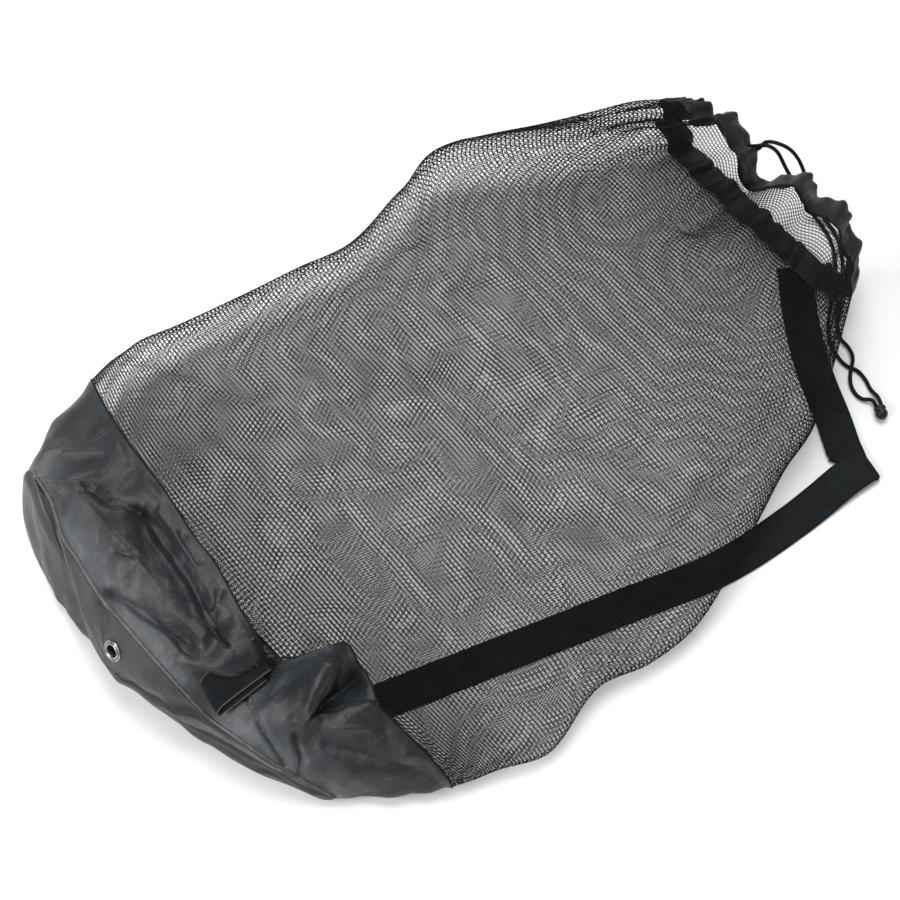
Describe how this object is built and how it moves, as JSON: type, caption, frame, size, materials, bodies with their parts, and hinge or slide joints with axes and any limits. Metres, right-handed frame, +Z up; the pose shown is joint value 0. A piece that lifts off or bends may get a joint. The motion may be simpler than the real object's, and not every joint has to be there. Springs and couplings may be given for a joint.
{
  "type": "mesh gear bag",
  "caption": "Drawcord bag of open netting on a coated cloth base, with a gathered collar and a webbing shoulder strap, lying on its side in its packed form, hollow and open at the mouth.",
  "frame": {"origin": "centre of the bag's box on the floor that it lies on, without the drawcord", "axes": "+X from the base to the mouth, +Y to the bag's left, +Z up from the floor"},
  "size_m": [0.7403, 0.4905, 0.1283],
  "materials": {
    "netting": "open knitted net, matt black",
    "coated_cloth": "coated plain weave, charcoal, satin",
    "hem_cloth": "plain weave, black, soft sheen",
    "webbing": "ribbed webbing, black",
    "cord": "braided, black",
    "bead": "moulded, satin",
    "eyelet_metal": "plated, worn satin"
  },
  "bodies": {
    "root": {"mesh_left_by_base": "netting", "mesh_left_middle": "netting", "mesh_left_by_mouth": "netting", "mesh_right_by_base": "netting", "mesh_right_middle": "netting", "mesh_right_by_mouth": "netting", "base_wall_left": "coated_cloth", "base_wall_right": "coated_cloth", "base_panel": "coated_cloth", "eyelet": "eyelet_metal", "base_tab": "webbing", "collar": "hem_cloth", "shoulder_strap": "webbing", "drawcord_inner": "cord", "drawcord_outer": "cord", "cord_bead": "bead"}
  },
  "joints": []
}
